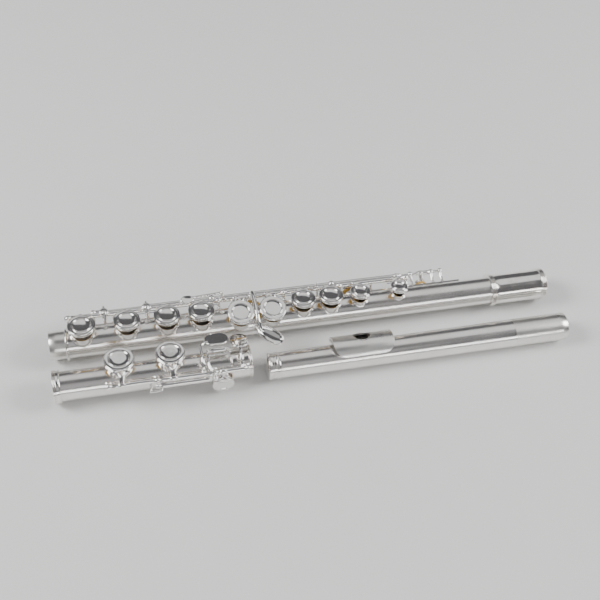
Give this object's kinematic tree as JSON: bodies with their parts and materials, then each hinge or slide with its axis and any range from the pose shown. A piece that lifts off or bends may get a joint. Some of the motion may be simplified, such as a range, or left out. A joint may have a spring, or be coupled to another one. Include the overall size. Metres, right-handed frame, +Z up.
{
  "type": "concert flute",
  "caption": "Transverse concert flute with closed-cup keywork, taken down into head, body and foot sections lying side by side.",
  "frame": {"origin": "middle of the footprint of the three sections, on the surface they lie on", "axes": "+X along the tubes, from the body's foot tenon to its barrel; +Y from the foot and head sections to the body section; +Z up"},
  "size_m": [0.3626, 0.0731, 0.0323],
  "materials": {
    "silver": "polished silver plate on nickel silver",
    "steel": "polished steel",
    "nickel": "plain nickel silver",
    "spring_steel": "blued spring steel",
    "skin_pad": "waxed skin over felt",
    "felt": "felt",
    "cork": "cork"
  },
  "bodies": {
    "body_section": {"body_tube": "silver", "tenon_ring": "silver", "barrel": "silver", "key_rib": "silver", "key_posts": "silver", "hinge_rods": "steel", "rod_screws": "steel", "needle_springs": "spring_steel", "stop_felts": "felt"},
    "head_section": {"head_tube": "silver", "lip_plate": "silver", "riser": "silver"},
    "crown": {"crown": "silver"},
    "stopper": {"stopper_screw": "silver", "stopper_cork": "cork", "stopper_nut": "nickel"},
    "foot_section": {"foot_tube": "silver", "foot_end_ring": "silver", "foot_socket": "silver", "foot_rib": "silver", "foot_posts": "silver", "foot_rods": "steel", "foot_springs": "spring_steel", "foot_felts": "felt"},
    "d_key": {"d_key": "silver", "d_pad": "skin_pad"},
    "e_key": {"e_key": "silver", "e_pad": "skin_pad"},
    "f_key": {"f_key": "silver", "f_pad": "skin_pad"},
    "f_sharp_key": {"f_sharp_key": "silver", "f_sharp_pad": "skin_pad"},
    "g_key": {"g_key": "silver", "g_pads": "skin_pad"},
    "a_key": {"a_key": "silver", "a_pad": "skin_pad"},
    "b_flat_key": {"b_flat_key": "silver", "b_flat_pad": "skin_pad"},
    "c_key": {"c_key": "silver", "c_pads": "skin_pad"},
    "g_sharp_key": {"g_sharp_key": "silver", "g_sharp_pad": "skin_pad"},
    "b_flat_lever": {"b_flat_lever": "silver"},
    "d_trill_key": {"d_trill_key": "silver", "d_trill_pad": "skin_pad"},
    "d_sharp_trill_key": {"d_sharp_trill_key": "silver", "d_sharp_trill_pad": "skin_pad"},
    "thumb_key": {"thumb_key": "silver", "thumb_pad": "skin_pad"},
    "thumb_lever": {"thumb_lever": "silver"},
    "low_c_key": {"low_c_key": "silver", "low_c_pad": "skin_pad"},
    "c_sharp_key": {"c_sharp_key": "silver", "c_sharp_pad": "skin_pad"},
    "low_c_lever": {"low_c_lever": "silver"},
    "e_flat_key": {"e_flat_key": "silver", "e_flat_pad": "skin_pad"},
    "low_c_roller": {"low_c_roller": "silver"}
  },
  "joints": [
    {"name": "head_lift", "type": "slide", "parent": "body_section", "child": "head_section", "axis": [0, 0, 1], "range_m": [0, 0.06]},
    {"name": "foot_lift", "type": "slide", "parent": "body_section", "child": "foot_section", "axis": [0, 0, 1], "range_m": [0, 0.06]},
    {"name": "crown_turn", "type": "hinge", "parent": "head_section", "child": "crown", "pos_m": [-0.03475, -0.02225, 0.0099], "axis": [1, 0, 0], "range_deg": [-360, 360]},
    {"name": "stopper_slide", "type": "slide", "parent": "head_section", "child": "stopper", "axis": [1, 0, 0], "range_m": [-0.00076, 0.00076]},
    {"name": "d_turn", "type": "hinge", "parent": "body_section", "child": "d_key", "pos_m": [-0.1559, 0.02975, 0.0207], "axis": [1, 0, 0], "range_deg": [0, 10.88], "stiffness_Nm_per_rad": 0.02, "springref_deg": -17.19},
    {"name": "e_turn", "type": "hinge", "parent": "body_section", "child": "e_key", "pos_m": [-0.12965, 0.02975, 0.0207], "axis": [1, 0, 0], "range_deg": [0, 10.88], "stiffness_Nm_per_rad": 0.02, "springref_deg": -17.19},
    {"name": "f_turn", "type": "hinge", "parent": "body_section", "child": "f_key", "pos_m": [-0.09963, 0.02975, 0.0207], "axis": [1, 0, 0], "range_deg": [0, 10.88], "stiffness_Nm_per_rad": 0.02, "springref_deg": -17.19},
    {"name": "f_sharp_turn", "type": "hinge", "parent": "body_section", "child": "f_sharp_key", "pos_m": [-0.0778, 0.02975, 0.0207], "axis": [1, 0, 0], "range_deg": [0, 10.88], "stiffness_Nm_per_rad": 0.02, "springref_deg": -17.19},
    {"name": "g_turn", "type": "hinge", "parent": "body_section", "child": "g_key", "pos_m": [-0.0401, 0.02975, 0.0207], "axis": [1, 0, 0], "range_deg": [0, 8.81], "stiffness_Nm_per_rad": 0.02, "springref_deg": -17.19},
    {"name": "a_turn", "type": "hinge", "parent": "body_section", "child": "a_key", "pos_m": [-0.00468, 0.02975, 0.0207], "axis": [1, 0, 0], "range_deg": [0, 10.88], "stiffness_Nm_per_rad": 0.02, "springref_deg": -17.19},
    {"name": "b_flat_turn", "type": "hinge", "parent": "body_section", "child": "b_flat_key", "pos_m": [0.01265, 0.02975, 0.0207], "axis": [1, 0, 0], "range_deg": [0, 10.88], "stiffness_Nm_per_rad": 0.02, "springref_deg": -17.19},
    {"name": "c_turn", "type": "hinge", "parent": "body_section", "child": "c_key", "pos_m": [0.04825, 0.02975, 0.0207], "axis": [1, 0, 0], "range_deg": [0, 10.88], "stiffness_Nm_per_rad": 0.02, "springref_deg": -17.19},
    {"name": "g_sharp_turn", "type": "hinge", "parent": "body_section", "child": "g_sharp_key", "pos_m": [-0.03668, 0.02975, 0.0207], "axis": [1, 0, 0], "range_deg": [0, 8], "stiffness_Nm_per_rad": 0.02, "springref_deg": -17.19},
    {"name": "b_flat_lever_turn", "type": "hinge", "parent": "body_section", "child": "b_flat_lever", "pos_m": [-0.07485, 0.02975, 0.0207], "axis": [1, 0, 0], "range_deg": [0, 2.6], "stiffness_Nm_per_rad": 0.02, "springref_deg": -17.19},
    {"name": "d_trill_turn", "type": "hinge", "parent": "body_section", "child": "d_trill_key", "pos_m": [-0.0223, 0.03405, 0.0177], "axis": [1, 0, 0], "range_deg": [0, 7], "stiffness_Nm_per_rad": 0.02, "springref_deg": -17.19},
    {"name": "d_sharp_trill_turn", "type": "hinge", "parent": "body_section", "child": "d_sharp_trill_key", "pos_m": [-0.024, 0.03405, 0.0177], "axis": [1, 0, 0], "range_deg": [0, 7], "stiffness_Nm_per_rad": 0.02, "springref_deg": -17.19},
    {"name": "thumb_turn", "type": "hinge", "parent": "body_section", "child": "thumb_key", "pos_m": [0.0254, 0.02285, 0.0013], "axis": [1, 0, 0], "range_deg": [0, 11.4], "stiffness_Nm_per_rad": 0.02, "springref_deg": -17.19},
    {"name": "thumb_lever_turn", "type": "hinge", "parent": "body_section", "child": "thumb_lever", "pos_m": [0.0007, 0.02285, 0.0013], "axis": [1, 0, 0], "range_deg": [0, 11.4], "stiffness_Nm_per_rad": 0.02, "springref_deg": -17.19},
    {"name": "low_c_turn", "type": "hinge", "parent": "foot_section", "child": "low_c_key", "pos_m": [-0.13165, -0.02862, 0.02299], "axis": [-1, 0, 0], "range_deg": [0, 10.09], "stiffness_Nm_per_rad": 0.02, "springref_deg": -17.19},
    {"name": "c_sharp_turn", "type": "hinge", "parent": "foot_section", "child": "c_sharp_key", "pos_m": [-0.089, -0.02862, 0.02299], "axis": [-1, 0, 0], "range_deg": [0, 10.09], "stiffness_Nm_per_rad": 0.02, "springref_deg": -17.19},
    {"name": "low_c_lever_turn", "type": "hinge", "parent": "foot_section", "child": "low_c_lever", "pos_m": [-0.09212, -0.03108, 0.01973], "axis": [-1, 0, 0], "range_deg": [0, 12.42], "stiffness_Nm_per_rad": 0.02, "springref_deg": -17.19},
    {"name": "e_flat_turn", "type": "hinge", "parent": "foot_section", "child": "e_flat_key", "pos_m": [-0.0648, -0.02862, 0.02299], "axis": [-1, 0, 0], "range_deg": [0, 9], "stiffness_Nm_per_rad": 0.02, "springref_deg": -17.19},
    {"name": "roller_spin", "type": "hinge", "parent": "low_c_lever", "child": "low_c_roller", "pos_m": [-0.07195, -0.01442, 0.0275], "axis": [1, 0, 0], "continuous": true}
  ],
  "couplings": [
    {"joint": "stopper_slide", "follows": "crown_turn", "m_per_rad": 0.00011937},
    {"joint": "f_sharp_turn", "follows": "f_turn", "ratio": 1},
    {"joint": "b_flat_turn", "follows": "a_turn", "ratio": 1},
    {"joint": "low_c_turn", "follows": "low_c_lever_turn", "ratio": 0.8125}
  ]
}
